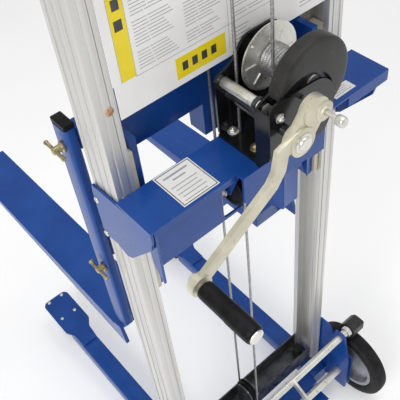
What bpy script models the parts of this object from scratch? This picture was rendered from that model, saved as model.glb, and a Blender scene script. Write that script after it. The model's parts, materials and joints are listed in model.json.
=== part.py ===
"""Hand-winch stacker: a straddle base, twin telescopic masts, a fork carriage and a rope winch.

Lengths are in millimetres and turned into metres as each shape is made. +X is the operator's
right, +Y points along the forks, and Z = 0 is the floor.
"""

import math

import bmesh
import bpy
from mathutils import Matrix, Vector

MM = 0.001
GAP = 0.3
SIDES = (("left", -1), ("right", 1))

# Masts
OUTER_TOP = 1700.0
INNER_TOP = 1690.0
MAST_FACE_X = 191.5
SEAM_X = 200.5
MAST_BACK_X = 222.5
MAST_HALF_DEPTH = 32.0
MAST_WALL = 4.0
LEG_TOP = 85.0

# Bracket and winch
PLATE_TOP = 1077.0
SHEET = 4.0
DRUM_X, DRUM_Z = 43.0, 1185.0
CRANK_X, CRANK_Z = -22.0, 1148.0
GRIP_END_Y = -287.5
GEAR_TEETH, PINION_TEETH = 58, 20
GEAR_MODULE = math.hypot(DRUM_X - CRANK_X, DRUM_Z - CRANK_Z) * 2 / (GEAR_TEETH + PINION_TEETH)
EYE_X, EYE_Z = -209.0, 1020.0
TIE_X, TIE_Z = -29.0, 1172.0
KNOB_X, KNOB_Z = 17.0, 1176.0

# Lift rope and its sheaves
ROPE_RADIUS = 2.5
ROPE_X = -12.5
FRONT_RUN_Y, BACK_RUN_Y, ANCHOR_RUN_Y = -47.0, 15.0, 51.0
SHEAVE_Y = (FRONT_RUN_Y + BACK_RUN_Y) / 2
SHEAVE_RADIUS = (BACK_RUN_Y - FRONT_RUN_Y) / 2
GUIDE_Z, BOTTOM_Z, HEAD_Z, INNER_HEAD_Z = 932.0, 200.0, 1660.0, 1655.0
INNER_HEAD_Y = (BACK_RUN_Y + ANCHOR_RUN_Y) / 2
INNER_HEAD_RADIUS = (ANCHOR_RUN_Y - BACK_RUN_Y) / 2
DRUM_RUN_X, DRUM_RUN_Y = 15.5, -89.5

# Base
AXLE_Y, AXLE_Z = -97.0, 108.0
WHEEL_INNER_X, WHEEL_OUTER_X = 256.0, 297.0
BRAKE_Y, BRAKE_Z = -91.0, 258.0
CASTER_X, CASTER_Y = 196.0, 588.0
CASTER_TRAIL, CASTER_RADIUS = 22.0, 30.0

# Carriage and forks
RAIL_BACK_Y = 92.0
FORK_OUTER_X, FORK_INNER_X = 236.5, 145.0
UPRIGHT_X = (209.5, 228.5)
UPRIGHT_Y = (67.0, 104.0)
UPRIGHT_TOP = 1140.0
BLADE_UNDER, HEEL_TOP, TIP_TOP, BLADE_TIP_Y = 588.0, 630.0, 599.0, 732.0
CLAMPS = (("high", 84.0, 1106.0, 14.0), ("low", 76.5, 829.0, 11.0))

# The front-to-back middle of the whole lift, which is put on Y = 0
CENTRE_Y = (GRIP_END_Y + BLADE_TIP_Y) / 2


def world(point):
    """A drawing point in metres, with the middle of the lift on Y = 0."""
    return Vector((point[0], point[1] - CENTRE_Y, point[2])) * MM


def clear_scene():
    for obj in list(bpy.data.objects):
        bpy.data.objects.remove(obj, do_unlink=True)


def material(name, colour, metallic, roughness):
    made = bpy.data.materials.new(name)
    made.use_nodes = True
    shader = made.node_tree.nodes["Principled BSDF"]
    shader.inputs["Base Color"].default_value = (*colour, 1.0)
    shader.inputs["Metallic"].default_value = metallic
    shader.inputs["Roughness"].default_value = roughness
    return made


# ---------------------------------------------------------------- shapes

def shape(bm):
    """A temporary object from a bmesh in millimetres, closed and facing out."""
    bmesh.ops.remove_doubles(bm, verts=bm.verts, dist=0.001)
    bmesh.ops.recalc_face_normals(bm, faces=bm.faces)
    for vert in bm.verts:
        vert.co = world(vert.co)
    mesh = bpy.data.meshes.new("shape")
    bm.to_mesh(mesh)
    bm.free()
    obj = bpy.data.objects.new("shape", mesh)
    bpy.context.scene.collection.objects.link(obj)
    return obj


def placed(axis, along, pair):
    """The 3-D point with this position along an axis and this pair on the other two."""
    a, b = pair
    return {"x": (along, a, b), "y": (a, along, b), "z": (a, b, along)}[axis]


def prism(axis, outline, low, high):
    bm = bmesh.new()
    bottom = [bm.verts.new(placed(axis, low, pair)) for pair in outline]
    face = bm.faces.new(bottom)
    step = Vector(placed(axis, high - low, (0, 0)))
    grown = bmesh.ops.extrude_face_region(bm, geom=[face])["geom"]
    moved = [item for item in grown if isinstance(item, bmesh.types.BMVert)]
    bmesh.ops.translate(bm, vec=step, verts=moved)
    return shape(bm)


def block(x, y, z):
    return prism("z", [(x[0], y[0]), (x[1], y[0]), (x[1], y[1]), (x[0], y[1])], z[0], z[1])


def circle(centre, radius, count=24, start=0.0, turn=2 * math.pi):
    """Points of a circle, or of an arc when turn is less than a full turn."""
    whole = abs(turn) > 2 * math.pi - 1e-6
    steps = count if whole else count - 1
    angles = [start + turn * i / steps for i in range(count)]
    return [(centre[0] + radius * math.cos(a), centre[1] + radius * math.sin(a)) for a in angles]


def rod(axis, centre, radius, low, high, count=24):
    return prism(axis, circle(centre, radius, count), low, high)


def turned(axis, centre, profile, count=28):
    """A closed profile of (radius, position along the axis) points turned about the axis."""
    bm = bmesh.new()
    rings = []
    for i in range(count):
        angle = 2 * math.pi * i / count
        rings.append([
            bm.verts.new(placed(axis, along, (
                centre[0] + radius * math.cos(angle), centre[1] + radius * math.sin(angle))))
            for radius, along in profile
        ])
    size = len(profile)
    for i in range(count):
        here, there = rings[i], rings[(i + 1) % count]
        for j in range(size):
            k = (j + 1) % size
            bm.faces.new((here[j], here[k], there[k], there[j]))
    return shape(bm)


def rounded(points, radius, steps=4):
    """The outline with each corner turned into an arc."""
    result = []
    count = len(points)
    for i in range(count):
        before, corner, after = (Vector(points[(i + k) % count]) for k in (-1, 0, 1))
        to_before, to_after = (before - corner), (after - corner)
        reach = min(radius, to_before.length * 0.45, to_after.length * 0.45)
        first = corner + to_before.normalized() * reach
        last = corner + to_after.normalized() * reach
        for step in range(steps + 1):
            t = step / steps
            point = first * (1 - t) ** 2 + corner * 2 * t * (1 - t) + last * t ** 2
            result.append((point.x, point.y))
    return result


def band(points, width, steps=8):
    """The outline of a flat bar that follows the points, with round ends."""
    line = [Vector(point) for point in points]
    half = width / 2
    left, right = [], []
    for i in range(1, len(line) - 1):
        into = (line[i] - line[i - 1]).normalized()
        out = (line[i + 1] - line[i]).normalized()
        normal = (Vector((-into.y, into.x)) + Vector((-out.y, out.x))).normalized()
        reach = half / max(0.3, normal.dot(Vector((-out.y, out.x))))
        left.append(line[i] + normal * reach)
        right.append(line[i] - normal * reach)
    start = math.atan2(*(line[0] - line[1]).yx)
    end = math.atan2(*(line[-1] - line[-2]).yx)
    outline = circle(line[0], half, steps, start + math.pi / 2, -math.pi)
    outline = outline[::-1]
    outline = [tuple(point) for point in outline]
    tip = circle(line[-1], half, steps, end - math.pi / 2, math.pi)
    return outline + [tuple(p) for p in right] + tip + [tuple(p) for p in reversed(left)]


def combined(first, others, operation):
    for other in others:
        modifier = first.modifiers.new(operation.lower(), "BOOLEAN")
        modifier.operation = operation
        modifier.solver = "EXACT"
        modifier.object = other
        other.hide_render = True
        other.display_type = "WIRE"


def merged_mesh(add, cut):
    """The added shapes joined and the cut shapes removed, as one mesh; the shapes are used up."""
    combined(add[0], add[1:], "UNION")
    combined(add[0], cut, "DIFFERENCE")
    graph = bpy.context.evaluated_depsgraph_get()
    mesh = bpy.data.meshes.new_from_object(add[0].evaluated_get(graph), depsgraph=graph)
    for obj in (*add, *cut):
        bpy.data.objects.remove(obj, do_unlink=True)
    return mesh


def pierced(base, cut):
    """A temporary shape with the cut shapes removed."""
    obj = bpy.data.objects.new("shape", merged_mesh([base], cut))
    bpy.context.scene.collection.objects.link(obj)
    return obj


def part(name, finish, add, cut=(), pivot=(0, CENTRE_Y, 0)):
    """One named object: the added shapes joined, the cut shapes removed, its origin on the pivot."""
    mesh = merged_mesh(add, cut)
    origin = world(pivot)
    for vertex in mesh.vertices:
        vertex.co -= origin
    mesh.name = name
    mesh.materials.clear()
    mesh.materials.append(finish)
    mesh.shade_smooth()
    mesh.set_sharp_from_angle(angle=math.radians(35))
    obj = bpy.data.objects.new(name, mesh)
    obj.location = origin
    bpy.context.scene.collection.objects.link(obj)
    return obj


def rope(name, finish, points):
    """A round rope along the points."""
    curve = bpy.data.curves.new(name, "CURVE")
    curve.dimensions = "3D"
    curve.bevel_depth = ROPE_RADIUS * MM
    curve.bevel_resolution = 2
    curve.use_fill_caps = True
    spline = curve.splines.new("POLY")
    spline.points.add(len(points) - 1)
    for knot, point in zip(spline.points, points):
        knot.co = (*world(point), 1.0)
    curve.materials.append(finish)
    obj = bpy.data.objects.new(name, curve)
    bpy.context.scene.collection.objects.link(obj)
    return obj


def mirrored(outline, side):
    return [(x * side, y) for x, y in outline]


def span(side, low, high):
    """The interval from low to high on the given side of the middle."""
    return tuple(sorted((side * low, side * high)))


def sheave_profile(rope_radius, middle, half_width=6.0, bore=5.3):
    """Profile of a grooved sheave whose rope runs at rope_radius."""
    root = rope_radius - ROPE_RADIUS - GAP
    rim = rope_radius + 3.0
    return [
        (bore, middle - half_width), (rim, middle - half_width), (rim, middle - 4.2),
        (root, middle - 2.9), (root, middle + 2.9), (rim, middle + 4.2),
        (rim, middle + half_width), (bore, middle + half_width),
    ]


# ---------------------------------------------------------------- masts

def fluted_side(start, end, inward, count, depth=1.3):
    """Points of a straight face from start to end with shallow square grooves cut inward."""
    start, end, inward = Vector(start), Vector(end), Vector(inward) * depth
    points = [tuple(start)]
    for i in range(count):
        low = start.lerp(end, (i + 0.72) / (count + 0.44))
        high = start.lerp(end, (i + 1.0) / (count + 0.44))
        points += [tuple(low), tuple(low + inward), tuple(high + inward), tuple(high)]
    points.append(tuple(end))
    return points


def outer_mast_outline():
    deep, wall = MAST_HALF_DEPTH, MAST_WALL
    web = MAST_BACK_X - wall
    front = fluted_side((SEAM_X, -deep), (MAST_BACK_X, -deep), (0, 1), 1)
    side = fluted_side((MAST_BACK_X, -deep), (MAST_BACK_X, deep), (-1, 0), 3)
    back = fluted_side((MAST_BACK_X, deep), (SEAM_X, deep), (0, -1), 1)
    inside = [(SEAM_X, deep - wall), (web, deep - wall), (web, wall - deep), (SEAM_X, wall - deep)]
    return front + side[1:] + back[1:] + inside


def inner_mast_outline():
    shoulder = SEAM_X - 0.7
    nose, body, track = MAST_HALF_DEPTH - 0.5, MAST_HALF_DEPTH - MAST_WALL - 0.8, 20.0
    web_back = MAST_BACK_X - MAST_WALL - 0.8
    web_front = web_back - MAST_WALL
    return [
        (MAST_FACE_X, -nose), (shoulder, -nose), (shoulder, -body), (web_back, -body),
        (web_back, body), (shoulder, body), (shoulder, nose), (MAST_FACE_X, nose),
        (MAST_FACE_X, track), (web_front, track), (web_front, -track), (MAST_FACE_X, -track),
    ]


def build_masts(finish):
    for label, side in SIDES:
        part("outer_mast_" + label, finish["aluminium"], [
            prism("z", mirrored(outer_mast_outline(), side), LEG_TOP + GAP, OUTER_TOP)])
        part("inner_mast_" + label, finish["aluminium"], [
            prism("z", mirrored(inner_mast_outline(), side), 128.0, INNER_TOP)])


def head_sheave_frame():
    """Centre, direction towards the front run and axis direction of the tilted head sheave."""
    low = Vector((DRUM_RUN_X, DRUM_RUN_Y))
    high = Vector((ROPE_X, FRONT_RUN_Y))
    towards = (high - low).normalized()
    return (low + high) / 2, towards, Vector((towards.y, -towards.x)), (high - low).length / 2


def tilted(obj, centre, axis_direction):
    """A shape about the X axis, turned so that its level axis has this direction, and moved."""
    angle = math.atan2(axis_direction.y, axis_direction.x)
    obj.data.transform(Matrix.Translation(world(centre)) @ Matrix.Rotation(angle, 4, "Z"))
    return obj


def build_mast_heads(finish):
    centre, towards, axis, radius = head_sheave_frame()
    near = centre + axis * 7.5
    block_outline = [
        tuple(near - towards * 12), tuple(near + towards * 12), (near.x + 2, -37.0),
        (near.x + 34, -37.0), (near.x + 34, near.y + 4),
    ]
    axle = tilted(rod("x", (CENTRE_Y, 0), 5.0, -12.0, 14.0, 16), (*centre, HEAD_Z), axis)
    washer = tilted(rod("x", (CENTRE_Y, 0), 9.0, -12.0, -8.0, 16), (*centre, HEAD_Z), axis)
    bar = block((-MAST_BACK_X, MAST_BACK_X), (-38.5, -MAST_HALF_DEPTH - GAP), (1612.0, 1690.0))
    part("mast_crossbar", finish["blue"],
         [bar, prism("z", block_outline, 1645.0, 1675.0), axle, washer])
    part("head_sheave", finish["black"],
         [tilted(turned("x", (CENTRE_Y, 0), sheave_profile(radius, 0.0), 24), (*centre, HEAD_Z), axis)],
         pivot=(*centre, HEAD_Z))
    lugs = [
        prism("x", rounded([(8, 1700), (8, 1648), (26, 1640), (42, 1640), (42, 1668), (24, 1700)], 9),
              low, low + 4.0)
        for low in (ROPE_X - 12.0, ROPE_X + 8.0)
    ]
    axle = rod("x", (INNER_HEAD_Y, INNER_HEAD_Z), 5.0, ROPE_X - 14.0, ROPE_X + 14.0, 16)
    bar = block((-217.0, 217.0), (-26.5, 26.5), (INNER_TOP + GAP, INNER_TOP + 26.0))
    part("inner_head_bar", finish["aluminium"], [bar, *lugs, axle])
    part("inner_head_sheave", finish["black"],
         [turned("x", (INNER_HEAD_Y, INNER_HEAD_Z), sheave_profile(INNER_HEAD_RADIUS, ROPE_X), 24)],
         pivot=(ROPE_X, INNER_HEAD_Y, INNER_HEAD_Z))


def build_bottom_channel(finish):
    wall = 3.0
    outline = [
        (-28, 128), (28, 128), (28, 176), (28 - wall, 176), (28 - wall, 128 + wall),
        (wall - 28, 128 + wall), (wall - 28, 176), (-28, 176),
    ]
    lug = rounded([(-42, 129), (10, 129), (10, 226), (-42, 226)], 24, 6)
    lugs = [prism("x", lug, low, low + 4.0) for low in (ROPE_X - 12.0, ROPE_X + 8.0)]
    axle = rod("x", (SHEAVE_Y, BOTTOM_Z), 5.0, ROPE_X - 15.0, ROPE_X + 15.0, 16)
    slot = block((ROPE_X - 7.9, ROPE_X + 7.9), (-60.0, -20.0), (120.0, 190.0))
    end = MAST_FACE_X - GAP
    part("bottom_channel", finish["steel"],
         [prism("x", outline, -end, end), *lugs, axle], [slot])
    part("bottom_sheave", finish["black"],
         [turned("x", (SHEAVE_Y, BOTTOM_Z), sheave_profile(SHEAVE_RADIUS, ROPE_X), 24)],
         pivot=(ROPE_X, SHEAVE_Y, BOTTOM_Z))


def build_sign(finish):
    part("sign_panel", finish["white"],
         [block((-190.0, 190.0), (-31.5, -30.2), (1200.0, 1660.0))])


# ---------------------------------------------------------------- bracket

def build_bracket(finish):
    under = PLATE_TOP - SHEET
    joint = PLATE_TOP - SHEET / 2
    plate = prism("z", [
        (-227.5, -110), (-76.5, -110), (-76.5, -123.5), (57.6, -123.5), (57.6, -110),
        (250, -110), (250, -33), (-227.5, -33)], under, PLATE_TOP)
    lip = block((-222.0, -76.0), (-110.0, -106.5), (1065.0, joint))
    window = prism("y", rounded([(-52, 903), (6, 903), (6, 1060), (-52, 1060)], 10, 3), -45.0, -30.0)
    beam = pierced(block((-186.0, 188.0), (-39.5, -35.5), (897.0, joint)), [window])
    tongue = block((-76.5, 57.6), (-123.5, -119.5), (1027.0, joint))
    low_flange = block((156.0, 250.0), (-110.0, -106.0), (1055.0, joint))
    corner_gusset = prism("x", [(-109, joint), (-82, joint), (-91, 985), (-108, 959)],
                          -221.0, -217.0)
    middle_gusset = prism("x", [(-109, joint), (-37, joint), (-37, 898), (-108, 927)], 15.0, 19.0)
    middle_strip = block((16.0, 46.0), (-109.5, -105.5), (932.0, joint))
    small_gusset = prism("x", [(-122, joint), (-92, joint), (-98, 1030), (-121, 985)], 53.0, 57.0)
    ear = [
        (-110, 1076.5), (30, 1066), (33, 1050), (33, 967), (21, 957.5), (-2.5, 962), (-26, 953),
        (-41, 962), (-103, 1036), (-110, 1060),
    ]
    ears = [prism("x", ear, *span(side, MAST_BACK_X + 1, MAST_BACK_X + 1 + SHEET))
            for _, side in SIDES]
    lug = [(-82, joint), (-36, joint), (-6, 942), (-8, 926), (-16, 922), (-26, 928)]
    lugs = [prism("x", lug, low, low + SHEET) for low in (ROPE_X - 12.0, ROPE_X + 8.0)]
    axle = rod("x", (SHEAVE_Y, GUIDE_Z), 5.0, ROPE_X - 16.0, ROPE_X + 15.0, 16)
    rope_hole = rod("z", (ROPE_X, FRONT_RUN_Y), 7.0, 1060.0, 1090.0, 20)
    part("mast_bracket", finish["blue"],
         [plate, lip, beam, tongue, low_flange, corner_gusset, middle_gusset, middle_strip,
          small_gusset, *ears, *lugs, axle], [rope_hole])
    part("guide_sheave", finish["black"],
         [turned("x", (SHEAVE_Y, GUIDE_Z), sheave_profile(SHEAVE_RADIUS, ROPE_X), 24)],
         pivot=(ROPE_X, SHEAVE_Y, GUIDE_Z))


# ---------------------------------------------------------------- winch

def gear_outline(centre, teeth, phase):
    """Straight-flanked teeth cut a little thin, so that a pair runs with backlash."""
    pitch = teeth * GEAR_MODULE / 2
    tip, root = pitch + 0.85 * GEAR_MODULE, pitch - 1.2 * GEAR_MODULE
    base = pitch * math.cos(math.radians(20))

    def involute(radius):
        angle = math.acos(min(1.0, base / radius))
        return math.tan(angle) - angle

    def half_angle(radius):
        thickness = 0.44 * math.pi * GEAR_MODULE
        return thickness / (2 * pitch) + involute(pitch) - involute(max(radius, base))

    points = []
    for tooth in range(teeth):
        middle = phase + 2 * math.pi * tooth / teeth
        for radius, sign in ((root, -1), (tip, -1), (tip, 1), (root, 1)):
            angle = middle + sign * half_angle(radius)
            points.append((centre[0] + radius * math.cos(angle),
                           centre[1] + radius * math.sin(angle)))
    return points


def build_winch_frame(finish):
    foot = PLATE_TOP + GAP
    top = [(-44, 1184), (-14, 1192), (14, 1226), (72, 1226), (104, 1180), (106, foot)]
    near_plate = rounded([(-45.5, foot), (-45.5, 1150), *top], 12, 3)
    far_plate = rounded([(-43.5, foot), *top], 12, 3)
    base = block((-43.5, 104.0), (-120.0, -34.0), (foot, foot + SHEET))
    near = prism("y", near_plate, -120.0, -116.0)
    far = prism("y", far_plate, -38.0, -34.0)
    guard = prism("y", rounded([
        (-46.5, 1101), (-46.5, 1198), (50, 1194), (74, 1172), (77, 1128), (60, 1092)], 14, 4),
        -146.0, -143.0)
    wall = prism("x", [(-117, foot + 1), (-123, foot + 1), (-144, 1104), (-144, 1182), (-117, 1182)],
                 -46.2, -43.7)
    holes = [
        rod("y", (DRUM_X, DRUM_Z), 10.3, -125.0, -30.0),
        rod("y", (CRANK_X, CRANK_Z), 6.3, -60.0, -30.0, 20),
        rod("y", (CRANK_X, CRANK_Z), 8.3, -150.0, -110.0, 20),
        rod("y", (TIE_X, TIE_Z), 6.3, -125.0, -30.0, 16),
        rod("z", (ROPE_X, FRONT_RUN_Y), 7.0, 1070.0, 1090.0, 20),
    ]
    part("winch_frame", finish["black"], [base, near, far, guard, wall], holes)
    part("tie_rod", finish["zinc"], [
        rod("y", (TIE_X, TIE_Z), 6.0, -122.0, -31.0, 16),
        rod("y", (TIE_X, TIE_Z), 8.0, -115.7, -38.3, 20),
        rod("y", (TIE_X, TIE_Z), 9.0, -123.6, -120.4, 6)])


def build_drum(finish):
    centre = (DRUM_X, DRUM_Z)
    gap_angle = math.atan2(CRANK_Z - DRUM_Z, CRANK_X - DRUM_X)
    part("winch_drum", finish["zinc"], [
        rod("y", centre, 10.0, -137.0, -31.0),
        rod("y", centre, 19.0, -112.0, -54.0, 24),
        rod("y", centre, 52.5, -56.0, -53.0, 36),
        rod("y", centre, 50.0, -113.5, -110.5, 36)], pivot=(DRUM_X, -80.0, DRUM_Z))
    phase = gap_angle + math.pi / GEAR_TEETH
    part("drum_gear", finish["steel"],
         [prism("y", gear_outline(centre, GEAR_TEETH, phase), -135.0, -125.0)],
         [rod("y", centre, 10.3, -140.0, -120.0)], pivot=(DRUM_X, -130.0, DRUM_Z))
    part("rope_on_drum", finish["rope"],
         [turned("y", centre, [(19.3, -109.9), (24.7, -109.9), (24.7, -56.6), (19.3, -56.6)], 32)],
         pivot=(DRUM_X, -80.0, DRUM_Z))


def build_gear_cover(finish):
    centre = (DRUM_X - 2, DRUM_Z + 1)
    shell = turned("y", centre, [
        (10.8, -142.0), (64.0, -142.0), (66.0, -140.0), (66.0, -120.5), (63.5, -120.5),
        (63.5, -139.5), (10.8, -139.5)], 48)
    opening = rod("y", (18.0, 1150.0), 60.0, -150.0, -119.0, 40)
    part("gear_cover", finish["grey"], [shell], [opening])


def build_crank(finish):
    axis = (CRANK_X, CRANK_Z)
    to_drum = math.atan2(DRUM_Z - CRANK_Z, DRUM_X - CRANK_X)
    part("crank_shaft", finish["steel"], [
        rod("y", axis, 6.0, -70.0, -31.0, 20),
        rod("y", axis, 9.0, -115.5, -60.0, 20),
        rod("y", axis, 8.0, -186.0, -110.0, 20),
        rod("y", axis, 12.0, -110.0, -103.0, 8),
        prism("y", gear_outline(axis, PINION_TEETH, to_drum), -136.0, -124.0)],
        pivot=(CRANK_X, -150.0, CRANK_Z))
    hub = rod("y", axis, 22.0, -182.0, -164.0, 32)
    lobe = rod("y", (4.0, 1182.0), 22.0, -180.0, -166.0, 28)
    web = prism("y", [(-38, 1164), (-12, 1200), (22, 1168), (-4, 1134)], -178.0, -168.0)
    arm = prism("y", band([(-30, 1158), (-57, 1150), (-63, 1122), (-76, 1104), (EYE_X, EYE_Z)],
                          22.0), -181.0, -173.0)
    eye = rod("y", (EYE_X, EYE_Z), 17.0, -184.0, -172.0, 24)
    holes = [
        rod("y", axis, 8.3, -190.0, -160.0, 20),
        rod("y", (EYE_X, EYE_Z), 6.3, -190.0, -165.0, 16),
        rod("y", (KNOB_X, KNOB_Z), 4.3, -190.0, -160.0, 16),
    ]
    part("crank_arm", finish["cast"], [hub, lobe, web, arm, eye], holes,
         pivot=(CRANK_X, -177.0, CRANK_Z))
    part("crank_grip", finish["black"], [
        turned("y", (EYE_X, EYE_Z), [(6.3, -188.0), (12.5, -188.0), (14.5, -191.0), (14.5, -281.0),
                                     (13.0, -284.0), (6.3, -284.0)], 24)],
        pivot=(EYE_X, -238.0, EYE_Z))
    part("grip_spindle", finish["zinc"], [
        rod("y", (EYE_X, EYE_Z), 6.0, GRIP_END_Y + 1, -166.0, 16),
        rod("y", (EYE_X, EYE_Z), 11.0, GRIP_END_Y, -284.4, 24),
        rod("y", (EYE_X, EYE_Z), 9.5, -171.6, -164.5, 6)], pivot=(EYE_X, -230.0, EYE_Z))
    part("lock_knob", finish["zinc"], [
        rod("y", (KNOB_X, KNOB_Z), 4.0, -206.0, -152.0, 16),
        rod("y", (KNOB_X, KNOB_Z), 8.0, -213.0, -204.0, 20),
        rod("y", (KNOB_X, KNOB_Z), 6.0, -216.0, -201.0, 20)],
        pivot=(KNOB_X, -180.0, KNOB_Z))
    nose = prism("y", [(TIE_X - 6, TIE_Z - 8), (TIE_X + 2.5, TIE_Z - 12), (TIE_X + 6, TIE_Z - 11),
                       (TIE_X + 7, TIE_Z - 6)], -109.0, -104.0)
    part("ratchet_pawl", finish["steel"], [rod("y", (TIE_X, TIE_Z), 10.8, -109.5, -103.5, 20), nose],
         [rod("y", (TIE_X, TIE_Z), 8.3, -112.0, -100.0, 20)], pivot=(TIE_X, -106.0, TIE_Z))


# ---------------------------------------------------------------- rope

def arc_points(centre, radius, across, start, end, steps=12):
    """Points of an arc in the upright plane that holds the level direction across."""
    return [
        (centre[0] + across[0] * radius * math.cos(a), centre[1] + across[1] * radius * math.cos(a),
         centre[2] + radius * math.sin(a))
        for a in (start + (end - start) * i / steps for i in range(steps + 1))
    ]


def build_ropes(finish):
    centre, towards, _, radius = head_sheave_frame()
    over = arc_points((*centre, HEAD_Z), radius, towards, math.pi, 0.0)
    rope("rope_winch_run", finish["rope"], [(DRUM_RUN_X, DRUM_RUN_Y, DRUM_Z), *over])
    rope("rope_front_run", finish["rope"], [
        (ROPE_X, FRONT_RUN_Y, HEAD_Z - GAP), (ROPE_X, FRONT_RUN_Y, BOTTOM_Z + GAP)])
    under = arc_points((ROPE_X, SHEAVE_Y, BOTTOM_Z), SHEAVE_RADIUS, (0, 1), math.pi, 2 * math.pi)
    above = arc_points((ROPE_X, INNER_HEAD_Y, INNER_HEAD_Z), INNER_HEAD_RADIUS, (0, 1), math.pi, 0.0)
    rope("rope_inner_run", finish["rope"], [*under, *above])
    rope("rope_carriage_run", finish["rope"], [
        (ROPE_X, ANCHOR_RUN_Y, INNER_HEAD_Z - GAP), (ROPE_X, ANCHOR_RUN_Y, 1150.0 + GAP)])


# ---------------------------------------------------------------- carriage

def build_carriage(finish):
    rail_end = UPRIGHT_X[0] - GAP
    pieces = [
        block((-181.0, 181.0), (20.0, 25.0), (1096.0, 1160.0)),
        block((-181.0, 181.0), (20.0, 25.0), (848.0, 895.0)),
    ]
    for _, side in SIDES:
        pieces += [
            block(span(side, 169.0, 181.0), (-18.0, 24.0), (827.0, 1150.0)),
            block(span(side, 170.0, 179.5), (23.0, 74.0), (1099.0, 1133.0)),
            block(span(side, 170.0, 179.5), (23.0, 74.0), (851.0, 886.0)),
        ]
    pieces += [
        block((-rail_end, rail_end), (70.0, RAIL_BACK_Y), (1096.0, 1136.0)),
        block((-rail_end, rail_end), (70.0, RAIL_BACK_Y), (848.5, 888.5)),
        block((-24.0, 16.0), (23.0, 60.0), (1030.0, 1150.0)),
    ]
    part("carriage_frame", finish["blue"], pieces)
    for label, side in SIDES:
        for level, low in (("low", 829.0), ("high", 1060.0)):
            part(f"slide_pad_{label}_{level}", finish["cream"], [
                block(span(side, 181.3, 190.6), (-24.0, 19.5), (low, low + 75.0)),
                block(span(side, 190.0, 211.5), (-19.0, 19.0), (low + 1.0, low + 74.0))])


def build_forks(finish):
    front, back = UPRIGHT_Y
    slope = (TIP_TOP - HEEL_TOP) / (BLADE_TIP_Y - back)
    for label, side in SIDES:
        low_x, high_x = UPRIGHT_X
        upright = prism("z", rounded([
            (side * high_x, front), (side * low_x, front), (side * low_x, back),
            (side * high_x, back)], 6, 3), 592.0, UPRIGHT_TOP)
        chamfer = prism("x", [(front - 5, 500), (front - 5, 652), (back - 3, 596), (back + 9, 500)],
                        *span(side, low_x - 5, high_x + 0.5))
        top = prism("x", [
            (back - 2, HEEL_TOP - 5), (BLADE_TIP_Y, TIP_TOP - 5), (BLADE_TIP_Y, TIP_TOP),
            (back - 2, HEEL_TOP)], *span(side, FORK_INNER_X, FORK_OUTER_X))
        outline = [(back - 1, BLADE_UNDER), (BLADE_TIP_Y - 1, BLADE_UNDER),
                   (BLADE_TIP_Y - 1, TIP_TOP - 1), (back - 1, HEEL_TOP - 1)]
        cheek = [(front + 2, BLADE_UNDER + 2), (BLADE_TIP_Y - 1, BLADE_UNDER),
                 (BLADE_TIP_Y - 1, TIP_TOP - 1), (back, HEEL_TOP - 1), (front + 12, HEEL_TOP + 10)]
        inner_flange = prism("x", outline, *span(side, FORK_INNER_X + 0.5, FORK_INNER_X + 5.5))
        outer_flange = prism("x", cheek, *span(side, high_x - 0.5, FORK_OUTER_X - 0.5))
        heel = prism("x", [(back - 1.5, BLADE_UNDER + 1), (back + 4, BLADE_UNDER + 1),
                           (back + 4, HEEL_TOP - 2 + 6 * slope), (back - 1.5, HEEL_TOP - 2)],
                     *span(side, FORK_INNER_X + 1, high_x + 2))
        tip = block(span(side, FORK_INNER_X + 1, FORK_OUTER_X - 1),
                    (BLADE_TIP_Y - 6, BLADE_TIP_Y - 2), (BLADE_UNDER + 1, TIP_TOP - 2))
        part("fork_" + label, finish["blue"],
             [upright, heel, outer_flange, inner_flange, top, tip], [chamfer])
        part("fork_cap_" + label, finish["black"], [
            block(span(side, low_x + 0.5, high_x - 0.5), (front + 0.5, back - 0.5),
                  (UPRIGHT_TOP + GAP, UPRIGHT_TOP + 9.0))])
        for level, y, height, reach in CLAMPS:
            start = high_x + GAP
            bar = (side * (start + reach), height)
            part(f"clamp_{label}_{level}", finish["brass"], [
                rod("x", (y, height), 9.0, *span(side, start, start + 4.0), 16),
                rod("x", (y, height), 6.0, *span(side, start + 3.0, start + reach + 4.0), 16),
                rod("y", bar, 4.0, y - 26.0, y + 26.0, 12)],
                pivot=(side * start, y, height))


# ---------------------------------------------------------------- base

def build_legs(finish):
    for label, side in SIDES:
        leg = prism("y", rounded([
            (side * 174, 40), (side * 222.5, 40), (side * 222.5, LEG_TOP), (side * 174, LEG_TOP)],
            5, 2), -62.0, 512.0)
        gusset = prism("x", rounded([
            (-125, 45), (40, 45), (30, 90), (-12, 236), (-24, 276), (-56, 276), (-70, 246),
            (-76, 278), (-106, 278), (-112, 238), (-125, 182)], 9, 3), *span(side, 227.0, 232.0))
        cheek = prism("x", rounded([(-125, 45), (-60, 45), (-60, 182), (-125, 182)], 12, 3),
                      *span(side, 241.0, 246.0))
        web = block(span(side, 222.0, 243.0), (-66.0, -62.5), (50.0, 170.0))
        foot = block(span(side, 220.0, 229.0), (-60.0, 30.0), (48.0, 80.0))
        holes = [
            rod("x", (AXLE_Y, AXLE_Z), 10.3, *span(side, 220.0, 250.0), 20),
            rod("x", (BRAKE_Y, BRAKE_Z), 9.3, *span(side, 220.0, 250.0), 20),
        ]
        part("leg_" + label, finish["blue"], [leg, gusset, cheek, web, foot], holes)
        plate = rounded([
            (side * 176, 440), (side * 220, 440), (side * 222, 486), (side * 235, 510),
            (side * 235, 628), (side * 225, 638), (side * 167, 638), (side * 157, 628),
            (side * 157, 510), (side * 172, 486)], 5, 2)
        part("end_plate_" + label, finish["blue"],
             [prism("z", plate, LEG_TOP + GAP, LEG_TOP + GAP + 5.5)])
    deck = [(-74, 45), (-34, 45), (-34, 84), (-74, 84)]
    lip = block((-173.5, 173.5), (-118.0, -72.0), (46.0, 50.0))
    part("rear_deck", finish["blue"], [prism("x", deck, -173.5, 173.5), lip])


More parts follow.
